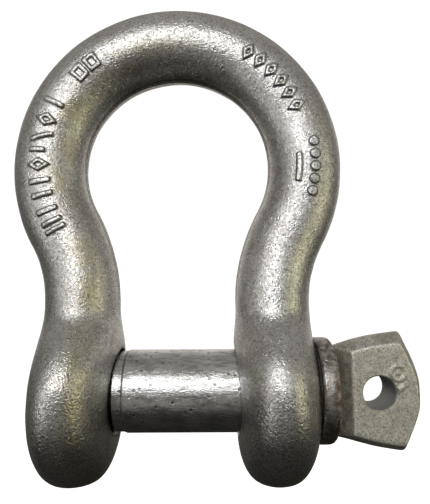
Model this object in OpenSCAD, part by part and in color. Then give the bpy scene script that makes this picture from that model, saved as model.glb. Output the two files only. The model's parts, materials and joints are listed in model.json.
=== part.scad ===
// Screw pin bow shackle: a forged bow with two eyes, and a screw pin through both.
// Millimetres. The origin is on the pin's axis, midway between the eyes. +X runs along
// the pin towards its head, +Z towards the crown of the bow, +Y through the bow.

/* [Bow] */
// Diameter of the forged bar
bar_d = 35; // [30:0.5:38]
// Inside width of the bow at its widest
bow_w = 90; // [84:1:100]
// Inside length, from the top of the pin to the inside of the crown
inside_l = 133; // [120:1:150]
// Inside width between the two legs, just above the eyes
leg_gap = 56; // [50:1:60]
// Centreline radius of the outward bend between a leg and the crown
waist_r = 75; // [60:1:90]

/* [Eyes] */
// Outside diameter of an eye, across the pin
eye_d = 84; // [76:1:90]
// Thickness of an eye at its middle, before its hole is cut
eye_t = 38; // [36:1:41]
// Distance of an eye's middle plane from the middle of the jaw
eye_x = 46.5; // [46:0.5:48]
// Squareness of an eye's rounded edge: 2 is a plain ellipse
eye_square = 2.6; // [2.2:0.1:3]
// Height above the pin's axis at which the leg starts to widen into the eye
web_z = 48; // [44:1:54]
// Diameter of the flat on the eye that the pin's collar seats on
seat_d = 42; // [41:1:46]

/* [Pin] */
// Diameter of the plain shank
pin_d = 38; // [34:0.5:38]
// Diameter over the screwed end, with its thread drawn plain
thread_d = 37; // [33:0.5:37]
// Radial clearance of the pin in both eyes
pin_clear = 0.5; // [0.3:0.1:1]
// Length of the plain shank, from the collar's seat
shank_l = 88; // [84:0.5:90]
// Chamfer at the shank's end, the collar's rim and the screwed end
pin_chamfer = 0.8; // [0.4:0.1:1.5]

/* [Pin head] */
// Diameter of the collar
collar_d = 49; // [45:0.5:52]
// Thickness of the collar
collar_t = 8; // [6:0.5:10]
// Rounding of the collar's outer rim
collar_round = 3.5; // [1:0.5:4]
// Thickness of the flat head
head_t = 20; // [16:1:24]
// Height of the head at its widest, along its parting line
head_h = 55; // [48:1:56]
// Height of the head where it leaves the collar
head_root_h = 42; // [36:1:44]
// Length of the head beyond the collar
head_l = 42; // [38:1:46]
// Height of the flat at the head's outer end
head_tip_h = 14; // [8:1:24]
// Draft of the head's edges, from the parting line to the flat face
head_draft = 4.6; // [2:0.1:6]
// Diameter of the hole through the head
hole_d = 15; // [10:0.5:18]
// Distance from the collar to the centre of the hole
hole_from_collar = 20; // [16:0.5:24]

/* [Hidden] */
zinc = [0.56, 0.56, 0.54];
zinc_pin = [0.66, 0.66, 0.64];

bar_r = bar_d / 2;
pin_r = pin_d / 2;
eye_r = eye_d / 2;
crown_r = bow_w / 2 + bar_r;
crown_z = inside_l + pin_r - bow_w / 2;
leg_x = leg_gap / 2 + bar_r;

// The waist arc touches the leg and the crown arc, so its centre is waist_r outside the
// leg and crown_r + waist_r from the crown's centre.
waist_x = leg_x + waist_r;
waist_drop = sqrt(pow(crown_r + waist_r, 2) - waist_x * waist_x);
waist_z = crown_z - waist_drop;
waist_turn = asin(waist_drop / (crown_r + waist_r));

// The collar seats where a flat of seat_d cuts the rounded outer face of the eye.
seat_x = eye_x + eye_half(seat_d / 2);
pin_end_x = -(seat_x - 0.5);
shank_end_x = seat_x - shank_l;
collar_x = seat_x + 0.3;
head_x = collar_x + collar_t;
hole_x = head_x + hole_from_collar;
reach = eye_d;
web_slim = 0.55;
core_r = 0.7 * bar_r;

// Half thickness of an eye at radius r from the pin's axis.
function eye_half(r) = eye_t / 2 * pow(1 - pow(min(r / eye_r, 1), eye_square), 1 / eye_square);

// Outline of half an eye, turned about the pin's axis: radius outwards, thickness along it.
function eye_outline(r, steps) = [
    for (i = [0 : steps]) let (a = 90 * i / steps) [r * sin(a), -eye_half(eye_r * sin(a))],
    for (i = [steps - 1 : -1 : 0]) let (a = 90 * i / steps) [r * sin(a), eye_half(eye_r * sin(a))]
];

// Lays a shape that stands on Z down along X, its foot at x.
module along_x(x) {
    translate([x, 0, 0]) rotate([0, 90, 0]) children();
}

// One eye as a round cushion on the pin's axis, shrunk by trim all round.
module eye_blank(side, trim, steps, facets) {
    along_x(side * eye_x) scale(1 - trim / eye_r)
        rotate_extrude($fn = facets) polygon(eye_outline(eye_r, steps));
}

// The web fairs the round leg into the eye: it starts as a slim ellipse inside the bar.
module eye_web(side) {
    hull() {
        translate([side * (leg_x + 0.4), 0, web_z])
            scale([web_slim, 1, 1]) cylinder(r = bar_r - 0.4, h = 0.5, $fn = 32);
        eye_blank(side, 0.5, 8, 32);
    }
}

// The bar: the crown arc, then on each side the waist arc and a straight leg into the eye.
module bar() {
    translate([0, 0, crown_z]) rotate([90, 0, 0]) rotate([0, 0, -waist_turn])
        rotate_extrude(angle = 180 + 2 * waist_turn, $fn = 96)
            translate([crown_r, 0]) circle(r = bar_r, $fn = 64);
    for (side = [-1, 1]) {
        translate([side * waist_x, 0, waist_z]) rotate([90, 0, 0])
            rotate([0, 0, side > 0 ? 180 - waist_turn : 0])
                rotate_extrude(angle = waist_turn, $fn = 96)
                    translate([waist_r, 0]) circle(r = bar_r, $fn = 64);
        // a ball inside the bar, across the joint of the two arcs, makes them one solid
        translate([side * crown_r * cos(waist_turn), 0, crown_z - crown_r * sin(waist_turn)])
            sphere(r = core_r, $fn = 48);
        translate([side * leg_x, 0, 0]) cylinder(r = bar_r, h = waist_z, $fn = 64);
    }
}

module bow() {
    color(zinc) difference() {
        union() {
            bar();
            for (side = [-1, 1]) {
                eye_blank(side, 0, 12, 96);
                eye_web(side);
            }
        }
        // plain hole on the head's side, screwed hole on the other
        along_x(0) cylinder(r = pin_r + pin_clear, h = reach, $fn = 96);
        along_x(-reach) cylinder(r = thread_d / 2 + pin_clear, h = reach, $fn = 96);
        // flat that the collar seats on
        along_x(seat_x) cylinder(d = collar_d + 2, h = eye_t, $fn = 96);
    }
}

// Outline of the head in the plane of the bow, drawn in by trim on every edge.
module head_outline(trim) {
    root = head_root_h / 2 - trim;
    wide = head_h / 2 - trim;
    tip = head_tip_h / 2 - trim / 3;
    polygon([
        [trim * 1.6, -root], [head_l * 0.4, -(root + wide) / 2 - 1], [head_l * 0.75 - trim / 2, -wide],
        [head_l - trim, -tip], [head_l - trim, tip],
        [head_l * 0.75 - trim / 2, wide], [head_l * 0.4, (root + wide) / 2 + 1], [trim * 1.6, root]
    ]);
}

module head_plate(trim, t) {
    translate([head_x, t / 2, 0]) rotate([90, 0, 0]) linear_extrude(height = t) head_outline(trim);
}

module screw_pin() {
    color(zinc_pin) difference() {
        union() {
            // screwed end with its lead chamfer, relief neck, shank and collar
            along_x(pin_end_x) rotate_extrude($fn = 96) polygon(pin_outline());
            hull() {
                head_plate(0, 0.6);
                head_plate(head_draft, head_t);
            }
        }
        translate([hole_x, 0, 0]) rotate([90, 0, 0])
            cylinder(d = hole_d, h = 2 * head_t, center = true, $fn = 96);
    }
}

// Outline of the turned part of the pin: radius, then distance from its screwed end.
function pin_outline() = let (
    shank = shank_end_x - pin_end_x,
    seat = collar_x - pin_end_x,
    back = head_x - pin_end_x + 1,
    thread_r = thread_d / 2,
    rim_r = collar_d / 2
) [
    [0, 0], [thread_r - 2.5, 0], [thread_r, 2.5], [thread_r, shank],
    [pin_r - pin_chamfer, shank], [pin_r, shank + pin_chamfer], [pin_r, seat],
    [rim_r - pin_chamfer, seat], [rim_r, seat + pin_chamfer],
    for (a = [0 : 15 : 90]) [
        rim_r - collar_round * (1 - cos(a)),
        back - 1 - collar_round * (1 - sin(a))
    ],
    [head_root_h / 2 - 4, back - 1], [head_root_h / 2 - 4, back], [0, back]
];

bow();
screw_pin();
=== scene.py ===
"""A screw pin bow shackle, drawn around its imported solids.

The bow and the screw pin are each one closed skin, worked out with numpy in millimetres in the
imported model's own frame: X along the pin towards its head, Z up to the crown, Y through the bow.
The bow's outer sizes, the pin's two ends and the hole in its head are read from the frame, and
the other sizes follow the solids closely.
"""

import json
import math

import bpy
import numpy as np
from mathutils import Matrix, Vector


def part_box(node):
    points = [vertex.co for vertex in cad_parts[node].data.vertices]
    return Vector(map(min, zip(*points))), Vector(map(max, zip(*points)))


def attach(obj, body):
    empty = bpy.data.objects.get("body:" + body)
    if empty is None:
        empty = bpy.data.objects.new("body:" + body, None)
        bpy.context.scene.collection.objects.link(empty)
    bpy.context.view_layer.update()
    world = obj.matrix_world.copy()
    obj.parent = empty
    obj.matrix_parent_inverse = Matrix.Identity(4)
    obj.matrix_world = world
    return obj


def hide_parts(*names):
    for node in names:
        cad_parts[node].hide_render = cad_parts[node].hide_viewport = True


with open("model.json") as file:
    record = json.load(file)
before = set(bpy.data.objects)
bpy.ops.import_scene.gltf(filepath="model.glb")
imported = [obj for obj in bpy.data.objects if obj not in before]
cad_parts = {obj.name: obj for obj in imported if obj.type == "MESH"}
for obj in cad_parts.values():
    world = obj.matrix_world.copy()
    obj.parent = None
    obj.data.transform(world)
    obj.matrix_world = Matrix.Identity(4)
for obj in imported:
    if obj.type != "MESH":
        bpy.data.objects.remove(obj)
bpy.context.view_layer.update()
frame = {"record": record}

MM = 0.001
bow_low, bow_high = (np.array(corner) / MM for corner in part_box("bow"))
pin_low, pin_high = (np.array(corner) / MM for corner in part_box("screw_pin"))
hole_mount = next(m for m in frame["record"]["mounts"] if m["name"] == "head_hole")

# The bow: a round bar whose centreline is a leg, a waist arc and half of the crown arc.
SKIN = 0.06                       # how far the drawn skin lies inside the solids
BAR = 17.5                        # radius of the bar
CROWN_R = bow_high[0] - BAR
CROWN_Z = bow_high[2] - bow_high[0]
LEG_X = 45.5
WAIST_R = 75.0
WAIST_X = LEG_X + WAIST_R
WAIST_DROP = math.sqrt((CROWN_R + WAIST_R) ** 2 - WAIST_X**2)
WAIST_Z = CROWN_Z - WAIST_DROP
WAIST_TURN = math.asin(WAIST_DROP / (CROWN_R + WAIST_R))
LEG_END = WAIST_Z
WAIST_END = LEG_END + WAIST_R * WAIST_TURN
HALF_BOW = WAIST_END + CROWN_R * (math.pi / 2 + WAIST_TURN)

# The eyes, and the neck between each eye and its leg.
EYE_R = -bow_low[2] - SKIN
EYE_HALF = 19.1                   # half thickness at the pin's axis
EYE_SQUARE = 3.15                 # how square the eye's lower edge is, 2 being round
EYE_OUT = 1.1                     # how far the eye's middle plane lies outside the leg's
EYE_BOXY = 0.2                    # what the eye's section adds to the power 2 of an ellipse
TIP_LEAN = (0.3, -0.4)            # how far the left and the right eye's tip lean outwards
SHOULDER_DROP = 0.09              # how much smaller the eye's circle is at its shoulder
LEG_SWELL = 3.6                   # how much the bar deepens towards the eye
NECK_POWER = 5                    # how tightly the eye's and the bar's depths are joined
NECK_BLEND = 3.6                  # half the length over which the neck's profile is averaged
INNER_SCOOP = 0.55                # how far the neck's inner side is scooped, INNER_SCOOP_Z up
INNER_SCOOP_Z = 25.0

# The parting flash round the bow, and the ripples of the forging: wavelength, height, seed.
FLASH_INSIDE = 0.45
FLASH_OUTSIDE = 0.08
BOW_RIPPLES = ((26.0, 0.045, 3), (9.0, 0.022, 4))
HEAD_RIPPLES = ((14.0, 0.05, 8), (5.0, 0.04, 9))

# The pin and the holes that it passes through.
PIN_R = 19.0
BORE_R = 19.5                     # the plain eye
NUT_R = 19.0                      # crest of the thread in the tapped eye
THREAD_R = 18.4                   # crest of the thread on the pin
THREAD_DEPTH = 2.1
THREAD_ROOT = 15.6                # no cut goes deeper than this radius
THREAD_PITCH = 4.23
PIN_END = pin_low[0]
NECK_END = -27.5                  # the relief neck runs from here to the shank's end
NECK_R = 18.45
SHANK_END = -23.77
SEAT_X = 64.23                    # the flat on the eye
COLLAR_X = 64.53
COLLAR_R = 24.5
HEAD_X = 72.53                    # the collar's back, where the head starts
HEAD_HALF = 10.0                  # half thickness of the head
HEAD_DRAFT = 0.46                 # how much the head's edges fall back, per unit of depth
HEAD_DROP = 0.8                   # how far the head's middle lies below the pin's axis
HEAD_POWER = 44.0                 # how sharp the head's edges are
TIP_X = pin_high[0]
HOLE_X = hole_mount["pos_m"][0] / MM
HOLE_R = hole_mount["dims"]["r_mm"]
HOLE_LIP = 0.45
HEAD_MIDDLE = np.array([HOLE_X, 0.0, -HEAD_DROP])

# A ring with a dot and a short bar on the head's front, placed from the hole's centre.
HEAD_MARK_HEIGHT = 0.75
RING_X, RING_Z = 8.6, 8.9
RING_R, RING_LINE = 3.2, 0.8
DOT_R = 1.0
STROKE_X, STROKE_Z = 9.9, 2.2
STROKE_LENGTH, STROKE_LINE = 2.6, 0.95

CREASE = 38                       # edges sharper than this many degrees stay crisp


# ---------------------------------------------------------------- small helpers


def ease(low, high, value):
    """0 below low, 1 above high, and the smooth cubic 3t^2 - 2t^3 between them."""
    t = np.clip((value - low) / (high - low), 0.0, 1.0)
    return t * t * (3.0 - 2.0 * t)


def spread(start, end, density, count):
    """count values from start to end, packed in proportion to density(value)."""
    fine = np.linspace(start, end, 20 * count)
    sums = np.cumsum(density(fine))
    return np.interp(np.linspace(sums[0], sums[-1], count), sums, fine)


def ripple(points, wavelength, height, seed, waves=14):
    """A sum of waves sin(k.p + phase) in random directions, scaled to about +-height."""
    rng = np.random.default_rng(seed)
    heading = rng.normal(size=(waves, 3)) * rng.uniform(0.7, 1.4, (waves, 1))
    k = heading * (2 * np.pi / wavelength) / np.linalg.norm(heading, axis=1, keepdims=True)
    phase = rng.uniform(0, 2 * np.pi, waves)
    return height * np.sin(points @ k.T + phase).sum(-1) / math.sqrt(waves)


def ripples(points, layers):
    """The ripples of several layers (wavelength, height, seed), added up."""
    return sum(ripple(points, *layer) for layer in layers)


def grid_normals(points):
    """Unit normals of a grid of points: the cross product of its two differences."""
    along = np.gradient(points, axis=0)
    around = (np.roll(points, -1, 1) - np.roll(points, 1, 1)) / 2
    normal = np.cross(around, along)
    return normal / np.maximum(np.linalg.norm(normal, axis=-1, keepdims=True), 1e-9)


def tube_mesh(name, rings):
    """A closed skin from rings of points (rows, columns, 3), with a fan over each end."""
    rows, columns = rings.shape[:2]
    ends = np.stack([rings[0].mean(0), rings[-1].mean(0)])
    points = np.concatenate([rings.reshape(-1, 3), ends])
    here = np.arange(rows * columns).reshape(rows, columns)
    beside = np.roll(here, -1, 1)
    quads = np.stack([here[:-1], here[1:], beside[1:], beside[:-1]], -1).reshape(-1, 4)
    first = np.full(columns, rows * columns)
    fans = np.concatenate(
        [np.stack([first, here[0], beside[0]], -1), np.stack([first + 1, beside[-1], here[-1]], -1)]
    )
    a, b, c = (points[quads[:, i]] for i in range(3))
    # The sum has the sign of the volume inside, which is negative while the faces point inwards.
    if (a * np.cross(b - a, c - a)).sum() < 0:
        quads, fans = quads[:, ::-1], fans[:, ::-1]
    mesh = bpy.data.meshes.new(name)
    mesh.from_pydata((points * MM).tolist(), [], quads.tolist() + fans.tolist())
    mesh.update()
    return mesh


def new_object(name, mesh):
    """An object at the origin that holds mesh."""
    piece = bpy.data.objects.new(name, mesh)
    bpy.context.scene.collection.objects.link(piece)
    return piece


def carve(piece, tool_mesh, operation):
    """Joins tool_mesh to piece, or cuts it away, and keeps the result as piece's own mesh."""
    tool = new_object(piece.name + "_tool", tool_mesh)
    boolean = piece.modifiers.new("carve", "BOOLEAN")
    boolean.operation = operation
    boolean.solver = "EXACT"
    boolean.object = tool
    shape = bpy.data.meshes.new_from_object(
        piece.evaluated_get(bpy.context.evaluated_depsgraph_get())
    )
    piece.modifiers.clear()
    old, piece.data = piece.data, shape
    shape.name = piece.name
    bpy.data.objects.remove(tool)
    bpy.data.meshes.remove(old)
    bpy.data.meshes.remove(tool_mesh)


def vertex_array(mesh):
    """The mesh's vertices in millimetres."""
    flat = np.empty(len(mesh.vertices) * 3, np.float32)
    mesh.vertices.foreach_get("co", flat)
    return flat.reshape(-1, 3) / MM


def store(mesh, name, values):
    """Keeps one number for each vertex under a name that the material reads."""
    layer = mesh.attributes.new(name, "FLOAT", "POINT")
    layer.data.foreach_set("value", np.clip(values, 0.0, 1.0).astype(np.float32))


def finish_shading(mesh):
    """Smooth shading, with the sharp edges left crisp."""
    mesh.polygons.foreach_set("use_smooth", np.ones(len(mesh.polygons), bool))
    mesh.set_sharp_from_angle(angle=math.radians(CREASE))


def turned(name, outline, columns, bend=None):
    """A solid of revolution about X: each outline point (x, radius) is carried round a circle,
    and bend(x, angle, radius) may change the radius from point to point."""
    x, radius = np.array(outline, float).T
    angle = np.linspace(0, 2 * np.pi, columns, endpoint=False)
    x, angle = x[:, None] + 0 * angle, angle[None] + 0 * x[:, None]
    radius = radius[:, None] + 0 * angle
    if bend:
        radius = bend(x, angle, radius)
    rings = np.stack([x, radius * np.cos(angle), radius * np.sin(angle)], -1)
    return tube_mesh(name, rings)


def softened(corners, steps=6):
    """A polyline (x, radius, rounding) with each corner replaced by a quadratic arc that
    starts and ends one rounding away from it."""
    points = np.array([c[:2] for c in corners], float)
    path = [points[:1]]
    t = np.linspace(0, 1, steps)[:, None]
    for before, here, after, corner in zip(points, points[1:], points[2:], corners[1:-1]):
        into = (before - here) / np.linalg.norm(before - here)
        out = (after - here) / np.linalg.norm(after - here)
        a, b = here + into * corner[2], here + out * corner[2]
        path.append(a * (1 - t) ** 2 + 2 * here * t * (1 - t) + b * t**2)
    path.append(points[-1:])
    return np.concatenate(path)


def subdivide(path, step):
    """The same polyline with points no further apart than step."""
    gaps = np.linalg.norm(np.diff(path, axis=0), axis=1)
    place = np.concatenate([[0], np.cumsum(gaps)])
    counts = np.maximum(np.ceil(gaps / step).astype(int), 1)
    stations = np.concatenate(
        [np.linspace(a, b, n, endpoint=False) for a, b, n in zip(place, place[1:], counts)]
        + [place[-1:]]
    )
    return np.stack([np.interp(stations, place, part) for part in path.T], -1)


# ---------------------------------------------------------------- forged marks

# Each mark: shape, angle round the crown in degrees, offset outwards, half width along the
# bar, half length across it, and lean in degrees. Bars and pips are solid, and lozenges and
# squares are outlines. None of them means anything.
MARK_HEIGHT = 0.9
MARK_CORNER = 0.8                 # rounding of a bar's or a square's corners
MARK_LINE = 0.85                  # half width of the line that draws a lozenge or a square
MARKS = (
    [("bar", -120.2, 0.4, 1.0, 4.8, 0), ("bar", -116.6, 0.4, 1.0, 4.8, 0)]
    + [("bar", -111.4, 0.4, 1.1, 4.8, 0), ("bar", -104.4, 0.4, 1.1, 4.8, 0)]
    + [("bar", -98.4, 0.4, 1.1, 4.8, 0), ("lozenge", -91.4, 0.4, 3.0, 4.9, 0)]
    + [("bar", -85.0, 1.4, 1.0, 3.6, 0), ("bar", -79.0, 0.4, 0.95, 5.4, 24)]
    + [("lozenge", -71.6, 0.4, 3.0, 4.9, 0), ("bar", -63.4, 0.4, 1.1, 4.8, 0)]
    + [("square", -46.6, -0.9, 3.2, 3.6, 0), ("square", -39.4, -0.9, 3.2, 3.6, 0)]
    + [("lozenge", 33.8 + 6.4 * i, -0.4, 2.75, 4.3, 0) for i in range(6)]
    + [("pip", 82.6 + 5.2 * i, 2.3, 2.1, 2.3, 0) for i in range(5)]
    + [("bar", 93.6, -4.9, 7.2, 1.15, 0)]
)


def mark_field(angle, offset):
    """How much each point of the front of the crown is raised, from 0 to 1. angle is in degrees
    round the crown, offset outwards in millimetres. d is the distance outside a mark's edge: of
    a box with round corners for bars and squares, and of a superellipse |x/a|^n + |y/b|^n = 1
    for lozenges and pips. An outline is raised where |d + line| < line."""
    raised = np.zeros_like(angle)
    for shape, at, out, half_w, half_l, lean in MARKS:
        x, y = np.radians(angle - at) * CROWN_R, offset - out
        c, s = math.cos(math.radians(lean)), math.sin(math.radians(lean))
        along, across = x * c + y * s, y * c - x * s
        if shape in ("bar", "square"):
            over_w = np.abs(along) - half_w + MARK_CORNER
            over_l = np.abs(across) - half_l + MARK_CORNER
            d = np.hypot(np.maximum(over_w, 0), np.maximum(over_l, 0)) - MARK_CORNER
            d = d + np.minimum(np.maximum(over_w, over_l), 0)
        else:
            power = 1.05 if shape == "lozenge" else 2.0
            reach = (np.abs(along / half_w) ** power + np.abs(across / half_l) ** power) ** (1 / power)
            d = (reach - 1.0) * min(half_w, half_l)
        if shape in ("lozenge", "square"):
            d = np.abs(d + MARK_LINE) - MARK_LINE
        raised = np.maximum(raised, 1.0 - ease(-0.4, 0.5, d))
    return raised


# ---------------------------------------------------------------- the bow


def half_centreline(w):
    """Centre and direction of the bar at distance w from the pin's axis, on the +X side:
    straight up the leg, round the waist arc, then round the crown arc to its top."""
    turn = (np.clip(w, LEG_END, WAIST_END) - LEG_END) / WAIST_R
    sweep = (w - WAIST_END) / CROWN_R - WAIST_TURN
    on_leg, on_waist = w <= LEG_END, w <= WAIST_END

    def pick(leg, waist, crown):
        return np.where(on_leg, leg, np.where(on_waist, waist, crown))

    x = pick(LEG_X, WAIST_X - WAIST_R * np.cos(turn), CROWN_R * np.cos(sweep))
    z = pick(w, WAIST_Z + WAIST_R * np.sin(turn), CROWN_Z + CROWN_R * np.sin(sweep))
    return x, z, pick(0.0, np.sin(turn), -np.sin(sweep)), pick(1.0, np.cos(turn), np.cos(sweep))


def half_depth(w):
    """Half size along Y: the eye's circle, drawn in a little near its shoulder, and the bar,
    which deepens towards the eye, joined as (eye^n + bar^n)^(1/n). Above the pin's axis the join
    is averaged over NECK_BLEND either way along the bar, which leaves a round hollow."""
    at = w + NECK_BLEND * ease(8.0, 26.0, w) * np.linspace(-1.0, 1.0, 15)[:, None]
    bar = BAR - SKIN + LEG_SWELL * (1 - ease(32.0, 72.0, at))
    bar = bar * ease(-EYE_R, 0.5 * EYE_R, at)
    radius = EYE_R * (1 - SHOULDER_DROP * ease(6.0, 36.0, at))
    eye = np.sqrt(np.maximum(radius**2 - at**2, 0.0))
    return ((eye**NECK_POWER + bar**NECK_POWER) ** (1 / NECK_POWER)).mean(0)


def half_width(w):
    """Half size across the bar in the plane of the bow: a superellipse under the pin's axis,
    then an ease from the eye's half thickness to the bar's radius."""
    down = np.abs(np.minimum(w, 0) / EYE_R)
    below = EYE_HALF * np.maximum(1 - down**EYE_SQUARE, 0) ** (1 / EYE_SQUARE)
    above = EYE_HALF + (BAR - SKIN - EYE_HALF) * ease(5.0, 40.0, w)
    return np.where(w < 0, below, above)


def bow_rings():
    """The bar and both eyes as one grid: station along the centreline by angle round it. The
    section is half_width * cos^(2/n) by half_depth * sin^(2/n), with n = 2 but for the eye.
    Marks, flash and ripples then move each point along the skin's normal."""

    def station_density(q):
        angle = np.degrees(q / CROWN_R)
        marked = 0.0
        for _, at, _, half, _, _ in MARKS:
            reach = 60 * half / CROWN_R
            marked = marked + 1 - ease(reach, reach + 2.5, np.abs(angle - at))
        end = HALF_BOW + EYE_R - np.abs(q)
        return 0.7 + 1.6 * np.minimum(marked, 1.0) + 1.2 * np.exp(-end / 2.5)

    def angle_density(t):
        front = np.exp(-(((t + np.pi / 2) / 0.55) ** 4))
        seams = np.exp(-((np.sin(t) / 0.07) ** 2))
        return 1.0 + 2.6 * front + 1.5 * seams

    reach = HALF_BOW + EYE_R * 0.99995
    q = spread(-reach, reach, station_density, 640)
    theta = spread(-np.pi, np.pi, angle_density, 125)[:-1]
    w = HALF_BOW - np.abs(q)
    side = np.sign(q)
    x, z, dx, dz = half_centreline(w)
    centre = np.stack([side * x, 0 * x, z], -1)
    direction = np.stack([-side * dx, 0 * x, -dz], -1) * side[:, None]
    outward = np.stack([-direction[:, 2], 0 * x, direction[:, 0]], -1)
    tip_lean = np.where(side < 0, *TIP_LEAN)
    lean = EYE_OUT * (1 - ease(-8.0, 20.0, w)) + tip_lean * ease(-10.0, -42.0, w)
    centre = centre + outward * lean[:, None]
    power = 2 / (2.0 + EYE_BOXY * ease(-34.0, -14.0, w) * (1 - ease(12.0, 34.0, w)))[:, None]
    cosine, sine = np.cos(theta), np.sin(theta)
    inside = cosine < 0
    scoop = INNER_SCOOP * np.exp(-(((w - INNER_SCOOP_Z) / 9.0) ** 2))[:, None]
    u = half_width(w)[:, None] * np.sign(cosine) * np.abs(cosine) ** power
    u = u - scoop * inside * cosine**2
    v = half_depth(w)[:, None] * np.sign(sine) * np.abs(sine) ** power
    rings = centre[:, None] + outward[:, None] * u[..., None]
    rings[..., 1] += v
    angle = np.degrees(q / CROWN_R)[:, None] + 0 * theta
    rise = MARK_HEIGHT * mark_field(angle, u) * (theta < 0)
    ridge = np.exp(-((v / 1.1) ** 2)) - 0.35 * np.exp(-(((np.abs(v) - 2.3) / 0.6) ** 2))
    rise = rise + ridge * np.where(inside, FLASH_INSIDE, FLASH_OUTSIDE) * ease(28.0, 50.0, w)[:, None]
    rise = rise + ripples(rings, BOW_RIPPLES)
    normal = grid_normals(rings)
    top = len(q) // 2
    if (normal[top] * (rings[top] - centre[top])).sum() < 0:
        normal = -normal
    fade = ease(0.0, 2.5, HALF_BOW + EYE_R - np.abs(q))[:, None]
    return rings + normal * (rise * fade)[..., None]


def thread_wave(x, angle, run_in, run_out):
    """Height of a right-hand thread from 0 to 1: the triangle wave 1 - |2 phase - 1| with its top
    and foot cut flat, where phase is x / pitch - angle / turn. It fades away at both ends."""
    phase = (x / THREAD_PITCH - angle / (2 * np.pi)) % 1.0
    tooth = np.clip(1.35 * (1 - np.abs(2 * phase - 1)) - 0.12, 0.0, 1.0)
    return tooth * ease(*run_in, x) * (1 - ease(*run_out, x))


def make_bow():
    """The forged bow: swept skin, plain hole, tapped hole and the flat under the collar, and
    the numbers that its material reads."""
    piece = new_object("shackle_bow", tube_mesh("shackle_bow", bow_rings()))
    far = 2 * LEG_X
    wide = BORE_R + 3
    plain = softened(
        [(5, 0, 0), (5, wide, 0), (SEAT_X - 37.2, wide, 0), (SEAT_X - 34.6, BORE_R, 0.6),
         (SEAT_X - 2.6, BORE_R, 0.4), (SEAT_X + 0.2, wide + 0.1, 0), (far, wide + 0.1, 0),
         (far, 0, 0)], 4)
    carve(piece, turned("plain_bore", plain[1:-1], 128), "DIFFERENCE")
    flat = [(SEAT_X, 0.5), (SEAT_X, COLLAR_R + 1.0), (far, COLLAR_R + 1.0), (far, 0.5)]
    carve(piece, turned("seat_flat", flat, 128), "DIFFERENCE")

    def tapped(x, angle, radius):
        groove = THREAD_DEPTH * thread_wave(x, angle, (-90, -85), (-35, -31))
        return radius + groove * (radius < NUT_R + 0.1)

    threaded = np.array(
        [(-far, 0.5), (-far, NUT_R + 3.2), (-SEAT_X - 0.4, NUT_R + 3.2), (-SEAT_X + 2.4, NUT_R),
         (-30.2, NUT_R), (-28.6, NUT_R + 0.9), (-5, NUT_R + 1.6), (-5, 0.5)], float)
    carve(piece, turned("tapped_bore", subdivide(threaded, 0.45)[1:-1], 112, tapped), "DIFFERENCE")
    mesh = piece.data
    points = vertex_array(mesh)
    angle = np.degrees(np.arctan2(points[:, 0], points[:, 2] - CROWN_Z))
    offset = np.hypot(points[:, 0], points[:, 2] - CROWN_Z) - CROWN_R
    raised = mark_field(angle, offset) * (points[:, 1] < 0) * (np.abs(offset) < BAR)
    near_crown = np.abs(angle) < np.degrees(np.pi / 2 + WAIST_TURN) + 4
    # dark rims round the marks: partly dirt in the crevices, partly painted shade at the marks' feet
    store(mesh, "mark_edge_dirt_and_shade", 4 * raised * (1 - raised) * near_crown)
    w = np.linspace(0.0, HALF_BOW, 400)
    line_x, line_z, _, _ = half_centreline(w)
    below = w < WAIST_END
    beside_leg = np.abs(points[:, 0]) - np.interp(points[:, 2], line_z[below], line_x[below])
    on_crown = near_crown & (points[:, 2] > line_z[below][-1])
    beside = np.where(on_crown, offset, beside_leg)
    # inner and the stripe after it place the olive and brown tints: where they strengthen the patches,
    # these are a painted warm reflection
    store(mesh, "inner", ease(4.0, -12.0, beside))
    store(mesh, "reflection_stripe", np.exp(-(((beside + 7.2) / 4.6) ** 2)) * ease(30.0, -30.0, points[:, 0]))
    seam = np.exp(-(((np.abs(points[:, 1]) - 2.1) / 0.5) ** 2)) * ease(28.0, 50.0, points[:, 2])
    store(mesh, "seam", seam * (beside < -BAR / 2))
    # painted shade: marks the bores of both eyes, which the colour darkens
    store(mesh, "bore_shade", np.hypot(points[:, 1], points[:, 2]) < NUT_R + 2.2)
    finish_shading(mesh)
    return piece


# ---------------------------------------------------------------- the pin


def head_faces():
    """Normals of the head's flat faces, and their distances from the head's middle. Each edge
    is its normal's X and Z and then a point on it, X and Z, where it meets the parting line."""
    edges = [
        (-0.31, 1.0, 79.0, 22.9), (-0.12, 1.0, 98.0, 26.8), (0.912, 0.409, 110.1, 17.6),
        (0.975, 0.22, 114.1, 7.0), (1.0, 0.0, TIP_X + 0.3, 0.0), (0.943, -0.332, 112.6, -14.9),
        (0.894, -0.447, 109.0, -23.2), (-0.14, -1.0, 98.0, -27.6), (-0.29, -1.0, 79.0, -23.1),
    ]
    faces = [((-1, 0, 0), (HEAD_X - 2.5, 0, 0))]
    for y in (-1, 1):
        faces.append(((0, y, 0), (HOLE_X, y * (HEAD_HALF + 0.15), 0)))
        faces.append(((-0.75, 0.66 * y, 0), (80.6, y * HEAD_HALF, 0)))
        faces += [((nx, HEAD_DRAFT * y, nz), (x, 0, z)) for nx, nz, x, z in edges]
    normals = np.array([n for n, _ in faces], float)
    normals /= np.linalg.norm(normals, axis=1, keepdims=True)
    depths = ((np.array([p for _, p in faces], float) - HEAD_MIDDLE) * normals).sum(1)
    return normals, depths


def head_closeness(directions):
    """n.d / h of each face for each direction: the face that a direction meets has the most."""
    normals, depths = head_faces()
    return np.maximum(directions @ normals.T / depths, 0)


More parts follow.
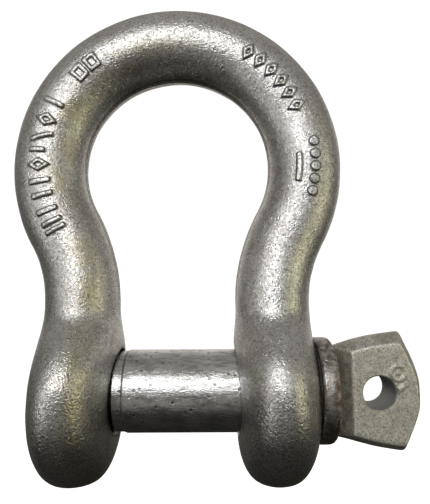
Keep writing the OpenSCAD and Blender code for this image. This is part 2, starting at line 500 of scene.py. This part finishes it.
def head_mesh():
    """The flat head as one rounded block. Along a unit direction d from its middle the skin
    lies at (sum over faces of (n.d / h)^p)^(-1/p), which rounds the block whose faces have
    normals n and distances h. The directions come from a grid laid over a plain slab. The
    ring, its dot and the short bar are raised where the distance outside them is below 0."""
    t = np.linspace(0.0, 1.0, 58)[1:]
    rim = np.linspace(-1.0, 1.0, 34)[1:-1]
    across = np.concatenate([[1e-3], t, np.ones(len(rim)), t[::-1], [1e-3]])
    deep = np.concatenate([-np.ones(58), rim, np.ones(58)])
    turn = np.linspace(0, 2 * np.pi, 220, endpoint=False)
    slab = np.stack(
        [24.0 * across[:, None] * np.cos(turn), HEAD_HALF * deep[:, None] + 0 * turn,
         27.0 * across[:, None] * np.sin(turn)], -1)
    d = slab / np.linalg.norm(slab, axis=-1, keepdims=True)
    distance = (head_closeness(d) ** HEAD_POWER).sum(-1) ** (-1 / HEAD_POWER)
    skin = HEAD_MIDDLE + d * distance[..., None]
    skin = skin + d * ripples(skin, HEAD_RIPPLES)[..., None]
    front = skin[..., 1] < -HEAD_HALF * 0.6
    x, z = skin[..., 0] - HOLE_X, skin[..., 2]
    from_ring = np.hypot(x - RING_X, z - RING_Z)
    ring = np.minimum(np.abs(from_ring - RING_R) - RING_LINE, from_ring - DOT_R)
    x, z = x - STROKE_X, z - STROKE_Z
    along, across = x * 0.8 + z * 0.6, z * 0.8 - x * 0.6
    stroke = np.hypot(np.maximum(np.abs(along) - STROKE_LENGTH, 0), across) - STROKE_LINE
    skin[..., 1] -= HEAD_MARK_HEIGHT * (1 - ease(-0.5, 0.5, np.minimum(ring, stroke))) * front
    return tube_mesh("head", skin)


def pin_outline():
    """Half section of the turned part, from the screwed end to the back of the collar."""
    corners = [
        (PIN_END, 0.3, 0), (PIN_END, THREAD_R - 3.0, 0.5), (PIN_END + 2.6, THREAD_R, 0.4),
        (NECK_END - 0.6, THREAD_R, 0.3), (NECK_END + 0.6, NECK_R, 0.3),
        (SHANK_END, NECK_R, 0.15), (SHANK_END, PIN_R - 0.45, 0.12), (SHANK_END + 0.9, PIN_R, 0.35),
        (COLLAR_X - 2.3, PIN_R, 0.8), (COLLAR_X, PIN_R + 2.6, 0.3),
        (COLLAR_X, COLLAR_R - 0.9, 0.3), (COLLAR_X + 0.9, COLLAR_R, 0.4),
        (HEAD_X, COLLAR_R, 3.6), (HEAD_X, 17.0, 0), (HEAD_X, 0.3, 0),
    ]
    return subdivide(softened(corners, 6), 0.6)


def make_pin():
    """The screw pin: turned part, head and hole joined into one skin, and the numbers that
    its material reads."""

    def threaded(x, angle, radius):
        depth = 1 - thread_wave(x, angle, (PIN_END - 9, PIN_END - 8), (NECK_END - 8.0, NECK_END - 4.0))
        zone = (1 - ease(NECK_END - 0.8, NECK_END - 0.3, x)) * (radius > THREAD_R - THREAD_DEPTH)
        return radius - np.minimum(THREAD_DEPTH * depth * zone, np.maximum(radius - THREAD_ROOT, 0))

    piece = new_object("shackle_pin", turned("shackle_pin", pin_outline(), 128, threaded))
    carve(piece, head_mesh(), "UNION")
    mouth = (HEAD_HALF + 3, HOLE_R + 3 + HOLE_LIP)
    edge = (HEAD_HALF - HOLE_LIP, HOLE_R)
    hole = [(-mouth[0], mouth[1]), (-edge[0], edge[1]), edge, mouth]
    drill = turned("drill", hole, 96)
    upright = Matrix.Rotation(math.pi / 2, 4, "Z")
    drill.transform(Matrix.Translation(Vector((HOLE_X * MM, 0, 0))) @ upright)
    carve(piece, drill, "DIFFERENCE")
    mesh = piece.data
    points = vertex_array(mesh)
    x, y, radius = points[:, 0], points[:, 1], np.hypot(points[:, 1], points[:, 2])
    on_head = ease(HEAD_X - 0.4, HEAD_X + 0.6, x)
    outwards = points - HEAD_MIDDLE
    outwards = outwards / np.linalg.norm(outwards, axis=1, keepdims=True)
    ranked = np.sort(head_closeness(outwards), 1)
    in_hole = np.hypot(x - HOLE_X, points[:, 2]) < HOLE_R + 0.2
    rim = np.exp(-(((x - HEAD_X + 1.8) / 1.1) ** 2)) * ease(19.0, 21.5, radius)
    crease = np.exp(-(((x - HEAD_X) / 1.2) ** 2)) * (1 - ease(10.5, 13.0, np.abs(y)))
    store(mesh, "head", on_head)
    # bright edges of the head: wear, and partly a painted highlight
    store(mesh, "wear_and_highlight", on_head * ease(0.93, 0.985, ranked[:, -2] / ranked[:, -1]) * (1 - in_hole))
    store(mesh, "flank", on_head * ease(HEAD_HALF, HEAD_HALF - 1.2, np.abs(y)) * (1 - in_hole))
    # painted shade: the walls inside the head's hole, darkened in the colour
    store(mesh, "in_hole", on_head * in_hole)
    store(mesh, "collar", ease(COLLAR_X - 0.6, COLLAR_X + 0.2, x) * (1 - on_head))
    store(mesh, "rust", np.maximum(rim, 0.8 * crease))
    # black band on the thread at the tapped eye's mouth: grease, and partly painted shade in the gap
    # there
    store(mesh, "grease_and_shade", ease(-34.0, -29.0, x) * (1 - ease(NECK_END - 0.6, NECK_END, x)))
    finish_shading(mesh)
    return piece


# ---------------------------------------------------------------- materials


class Wire:
    """A varying number in a material. +, - and * on it add Math nodes."""

    def __init__(self, paint, socket):
        self.paint = paint
        self.socket = socket

    def _math(self, operation, first, second):
        node = self.paint.node("ShaderNodeMath", {"operation": operation}, {0: first, 1: second})
        return Wire(self.paint, node.outputs[0])

    def __add__(self, other):
        return self._math("ADD", self, other)

    def __sub__(self, other):
        return self._math("SUBTRACT", self, other)

    def __rsub__(self, other):
        return self._math("SUBTRACT", other, self)

    def __mul__(self, other):
        return self._math("MULTIPLY", self, other)

    __radd__ = __add__


class Paint:
    """A material whose nodes are added by short calls."""

    def __init__(self, name):
        self.material = bpy.data.materials.new(name)
        self.material.use_nodes = True
        self.tree = self.material.node_tree
        self.shader = self.tree.nodes["Principled BSDF"]
        self.place = self.node("ShaderNodeTexCoord").outputs["Object"]

    def node(self, kind, settings=(), inputs=()):
        """Any node: its settings first, then the values or links of its sockets."""
        made = self.tree.nodes.new(kind)
        for key, value in dict(settings).items():
            setattr(made, key, value)
        for key, value in dict(inputs).items():
            self.feed(made.inputs[key], value)
        return made

    def feed(self, socket, value):
        """Links a wire or socket to socket, or sets it to a plain value."""
        if isinstance(value, Wire):
            value = value.socket
        if isinstance(value, bpy.types.NodeSocket):
            self.tree.links.new(value, socket)
        else:
            socket.default_value = value

    def noise(self, size, detail=3.0, roughness=0.55, distortion=0.0, shift=0.0, along_x=1.0):
        """Noise with features about size millimetres across, and along_x times as long in X."""
        moved = self.node(
            "ShaderNodeMapping", {},
            {"Vector": self.place, "Location": (shift,) * 3, "Scale": (1 / along_x, 1.0, 1.0)})
        made = self.node(
            "ShaderNodeTexNoise", {},
            {"Vector": moved.outputs[0], "Scale": 1.0 / (size * MM), "Detail": detail,
             "Roughness": roughness, "Distortion": distortion})
        return Wire(self, made.outputs["Fac"])

    def cells(self, size):
        """Distance from the nearest of many points that lie about size millimetres apart."""
        made = self.node(
            "ShaderNodeTexVoronoi", {}, {"Vector": self.place, "Scale": 1.0 / (size * MM)})
        return Wire(self, made.outputs["Distance"])

    def step(self, value, low, high):
        """0 where value is below low, 1 above high, smooth between them."""
        made = self.node(
            "ShaderNodeMapRange", {"interpolation_type": "SMOOTHSTEP"},
            {"Value": value, "From Min": low, "From Max": high})
        return Wire(self, made.outputs[0])

    def stored(self, name):
        """A number kept on the mesh's vertices."""
        return Wire(self, self.node("ShaderNodeAttribute", {"attribute_name": name}).outputs["Fac"])

    def blend(self, amount, first, second):
        """Colour first turning into colour second as amount goes from 0 to 1."""
        made = self.node("ShaderNodeMix", {"data_type": "RGBA"}, {0: amount, 6: first, 7: second})
        return made.outputs[2]

    def bump(self, height, depth, strength=1.0, under=None):
        """Relief of height times depth millimetres, on top of the relief under it."""
        inputs = {"Height": height, "Distance": depth * MM, "Strength": strength}
        if under is not None:
            inputs["Normal"] = under
        return self.node("ShaderNodeBump", {}, inputs).outputs[0]

    def finish(self, colour, roughness, metallic, relief):
        """Feeds the four of them to the surface, and hands back the material."""
        self.feed(self.shader.inputs["Base Color"], colour)
        self.feed(self.shader.inputs["Roughness"], roughness)
        self.feed(self.shader.inputs["Metallic"], metallic)
        self.feed(self.shader.inputs["Normal"], relief)
        return self.material


def bow_zinc():
    """Hot-dip zinc on a forging: bright fine grain, olive and brown patches, partly a painted warm
    reflection on the bow's inner side, dark edges round the marks, partly dirt and partly painted
    shade, a dark flash line, and painted shade in the bores."""
    paint = Paint("bow_zinc")
    broad = paint.noise(34.0, 3.0, 0.55, shift=0.3)
    patch = paint.noise(19.0, 4.0, 0.6, 0.4, shift=1.7)
    mottle = paint.noise(3.4, 3.0, 0.55, 0.3)
    grain = paint.noise(0.85, 1.0, 0.6)
    fine = paint.noise(0.5, 0.0, 0.5, shift=0.6)
    edge, inner, seam = paint.stored("mark_edge_dirt_and_shade"), paint.stored("inner"), paint.stored("seam")
    reflection_stripe = paint.stored("reflection_stripe")
    colour = paint.blend(paint.step(broad, 0.35, 0.65), (0.65, 0.65, 0.645, 1), (0.76, 0.76, 0.77, 1))
    # olive and brown patches are stains; their strengthening on the inner side and along the stripe is
    # a painted warm reflection
    olive = paint.step(patch, 0.42, 0.62) * (0.12 + reflection_stripe * 0.6) + reflection_stripe * 0.2
    colour = paint.blend(olive * 0.85, colour, (0.60, 0.55, 0.34, 1))
    brown = paint.step(patch, 0.50, 0.34) * (0.2 + inner * 0.8)
    colour = paint.blend(brown * 0.6, colour, (0.50, 0.45, 0.41, 1))
    colour = paint.blend(paint.step(mottle, 0.44, 0.72) * 0.40, colour, (0.36, 0.345, 0.32, 1))
    colour = paint.blend(paint.step(grain, 0.51, 0.70) * 0.6, colour, (0.15, 0.14, 0.125, 1))
    colour = paint.blend(paint.step(grain, 0.44, 0.28) * 0.3, colour, (0.93, 0.92, 0.88, 1))
    colour = paint.blend(paint.step(fine, 0.54, 0.70) * 0.4, colour, (0.16, 0.15, 0.135, 1))
    # dark rims round the marks: partly dirt, partly painted shade
    colour = paint.blend(edge * 0.9, colour, (0.05, 0.045, 0.04, 1))
    colour = paint.blend(seam * 0.7, colour, (0.08, 0.07, 0.06, 1))
    # painted shade: the bores of the eyes are darkened
    colour = paint.blend(paint.stored("bore_shade") * 0.75, colour, (0.10, 0.095, 0.09, 1))
    relief = paint.bump(mottle, 0.07, 0.8)
    relief = paint.bump(grain, 0.21, 1.0, relief)
    relief = paint.bump(fine, 0.15, 1.0, relief)
    return paint.finish(colour, 0.23 + mottle * 0.10 + edge * 0.25, 0.96, relief)


def pin_zinc():
    """The pin: a rubbed, brighter shank with pits, a duller sandy head with bright edges that are worn
    and partly a painted highlight, painted shade in the head's hole, rust between the two, and black
    on the thread at the tapped eye's mouth, which is grease and partly painted shade."""
    paint = Paint("pin_zinc")
    head, flank, in_hole = paint.stored("head"), paint.stored("flank"), paint.stored("in_hole")
    wear_and_highlight, collar = paint.stored("wear_and_highlight"), paint.stored("collar")
    rust, grease_and_shade = paint.stored("rust"), paint.stored("grease_and_shade")
    broad = paint.noise(20.0, 3.0, 0.55, shift=0.9)
    streak = paint.noise(2.6, 4.0, 0.65, 0.2, 0.5, 4.0)
    mottle = paint.noise(3.0, 4.0, 0.6, 0.3)
    grain = paint.noise(0.62, 1.0, 0.6)
    pits = 1 - paint.step(paint.cells(3.6), 0.12, 0.26)
    holes = pits * paint.step(broad, 0.45, 0.57) * (1 - head)
    shank = paint.blend(paint.step(broad, 0.35, 0.65), (0.64, 0.64, 0.635, 1), (0.79, 0.79, 0.80, 1))
    shank = paint.blend(paint.step(streak, 0.44, 0.66) * 0.7, shank, (0.31, 0.31, 0.30, 1))
    shank = paint.blend(paint.step(grain, 0.54, 0.74) * 0.4, shank, (0.22, 0.22, 0.21, 1))
    stained = collar * (0.3 + paint.step(mottle, 0.40, 0.60) * 0.6)
    shank = paint.blend(stained, shank, (0.24, 0.205, 0.18, 1))
    shank = paint.blend(holes * 0.65, shank, (0.08, 0.08, 0.08, 1))
    sand = paint.blend(paint.step(mottle, 0.40, 0.66), (0.72, 0.71, 0.625, 1), (0.57, 0.56, 0.49, 1))
    sand = paint.blend(paint.step(grain, 0.48, 0.68) * 0.62, sand, (0.18, 0.175, 0.145, 1))
    sand = paint.blend(paint.step(grain, 0.44, 0.26) * 0.45, sand, (0.95, 0.93, 0.85, 1))
    shaded = flank * (0.35 + paint.step(mottle, 0.42, 0.62) * 0.35)
    sand = paint.blend(shaded, sand, (0.24, 0.225, 0.205, 1))
    # bright edges: wear, and partly a painted highlight
    sand = paint.blend(wear_and_highlight * paint.step(grain, 0.62, 0.40) * 0.6, sand, (0.92, 0.91, 0.86, 1))
    # painted shade inside the head's hole
    sand = paint.blend(in_hole * 0.85, sand, (0.16, 0.17, 0.18, 1))
    colour = paint.blend(head, shank, sand)
    colour = paint.blend(rust * paint.step(mottle, 0.36, 0.60) * 0.85, colour, (0.13, 0.075, 0.045, 1))
    # black band at the tapped eye's mouth: grease, and partly painted shade
    colour = paint.blend(grease_and_shade * 0.9, colour, (0.03, 0.03, 0.03, 1))
    rough = 0.20 + mottle * 0.10 + (head - wear_and_highlight * 0.4) * 0.28 + rust * 0.15 + collar * 0.06
    relief = paint.bump(mottle, 0.10, 0.7)
    relief = paint.bump(grain, 0.16, 1.0, relief)
    relief = paint.bump(1 - holes, 0.2, 0.8, relief)
    return paint.finish(colour, rough, 0.96 - head * 0.30, relief)


def coat(piece, material):
    """Gives piece this material and no other."""
    piece.data.materials.clear()
    piece.data.materials.append(material)


def plain_glow(name, level):
    """A white surface that glows evenly, for the floor and the backdrop."""
    material = bpy.data.materials.new(name)
    material.use_nodes = True
    shader = material.node_tree.nodes["Principled BSDF"]
    shader.inputs["Base Color"].default_value = (0.9, 0.9, 0.9, 1)
    shader.inputs["Emission Color"].default_value = (1, 1, 1, 1)
    shader.inputs["Emission Strength"].default_value = level
    return material


# ---------------------------------------------------------------- stage, light and camera


def hide_from_reflections(thing):
    """The camera sees thing, and the metal neither mirrors it nor is lit by it."""
    thing.visible_glossy = False
    thing.visible_diffuse = False
    thing.visible_transmission = False
    thing.visible_shadow = False


def make_stage():
    """A pale floor well below the hanging shackle, and an even pale sphere round them both."""
    floor = new_object("floor", bpy.data.meshes.new("floor"))
    half, level = 3.0, -0.26  # metres
    dome_r = 4200  # millimetres
    corners = [(-half, -half, level), (half, -half, level), (half, half, level), (-half, half, level)]
    floor.data.from_pydata(corners, [], [(0, 1, 2, 3)])
    floor.data.materials.append(plain_glow("floor_white", 0.82))
    hide_from_reflections(floor)
    rows = np.linspace(-0.5 * np.pi, 0.5 * np.pi, 25)[1:-1]
    turn = np.linspace(0, 2 * np.pi, 48, endpoint=False)
    rings = np.stack(
        [np.sin(rows)[:, None] + 0 * turn, np.cos(rows)[:, None] * np.cos(turn),
         np.cos(rows)[:, None] * np.sin(turn)], -1)
    dome = new_object("backdrop", tube_mesh("backdrop", rings * dome_r))
    dome.data.materials.append(plain_glow("backdrop_white", 1.0))
    hide_from_reflections(dome)


def soft_light(name, place, aim, size, power, colour=(1, 1, 1)):
    """A softbox of size (width, height) at place that faces aim, all in metres."""
    data = bpy.data.lights.new(name, "AREA")
    data.shape = "RECTANGLE"
    data.size, data.size_y = size
    data.energy = power
    data.color = colour
    lamp = bpy.data.objects.new(name, data)
    lamp.location = place
    lamp.visible_camera = False
    lamp.rotation_euler = (Vector(aim) - Vector(place)).to_track_quat("-Z", "Y").to_euler()
    bpy.context.scene.collection.objects.link(lamp)


def make_light():
    """Six softboxes: key and the wider one behind it are above in front, low is below in front,
    left and right stand at the sides, and back is behind and above. The room lights the rest,
    and is dim below."""
    middle = (0.01, 0.0, 0.07)
    soft_light("key", (-0.17, -0.90, 0.50), middle, (0.52, 0.36), 2.15, (0.99, 0.99, 1.0))
    soft_light("wide", (-0.18, -1.05, 0.52), middle, (1.9, 0.80), 3.4, (1.0, 0.985, 0.97))
    soft_light("low", (-0.05, -0.85, -0.42), middle, (1.0, 0.40), 0.25, (1.0, 0.96, 0.88))
    soft_light("left", (-0.80, -0.58, -0.08), middle, (0.45, 0.60), 1.0, (1.0, 0.97, 0.95))
    soft_light("right", (0.88, -0.42, 0.04), middle, (0.50, 0.70), 1.20, (1.0, 0.95, 0.62))
    soft_light("back", (0.05, 1.00, 0.35), middle, (2.0, 0.90), 3.0, (1.0, 0.95, 0.88))
    world = bpy.data.worlds.new("room")
    bpy.context.scene.world = world
    world.use_nodes = True
    nodes, links = world.node_tree.nodes, world.node_tree.links
    place = nodes.new("ShaderNodeTexCoord")
    split = nodes.new("ShaderNodeSeparateXYZ")
    ramp = nodes.new("ShaderNodeMapRange")
    ends = {"From Min": -0.6, "From Max": 1.0, "To Min": 0.015, "To Max": 0.34}
    for key, value in ends.items():
        ramp.inputs[key].default_value = value
    links.new(place.outputs["Generated"], split.inputs[0])
    links.new(split.outputs[2], ramp.inputs["Value"])
    links.new(ramp.outputs[0], nodes["Background"].inputs["Strength"])
    nodes["Background"].inputs["Color"].default_value = (1.0, 0.96, 0.87, 1)


def make_camera():
    """Close in front of the jaw, right of the middle, tipped up a little towards the crown."""
    data = bpy.data.cameras.new("camera")
    data.lens = 34.43
    data.clip_start = 0.01
    camera = bpy.data.objects.new("camera", data)
    turn = Matrix.Rotation(math.pi / 2, 3, "X")
    for angle, axis in ((0.008, "Z"), (0.008, "Y"), (0.093, "X")):
        turn = Matrix.Rotation(angle, 3, axis) @ turn
    place = Vector((20.02, -234.2, 43.94)) * MM
    camera.matrix_world = Matrix.Translation(place) @ turn.to_4x4()
    bpy.context.scene.collection.objects.link(camera)
    bpy.context.scene.camera = camera


# ---------------------------------------------------------------- build

make_camera()
make_stage()
make_light()
bpy.context.scene.view_settings.view_transform = "Standard"

bow = make_bow()
coat(bow, bow_zinc())
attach(bow, "bow")
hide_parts("bow")

pin = make_pin()
coat(pin, pin_zinc())
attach(pin, "pin")
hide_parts("screw_pin")
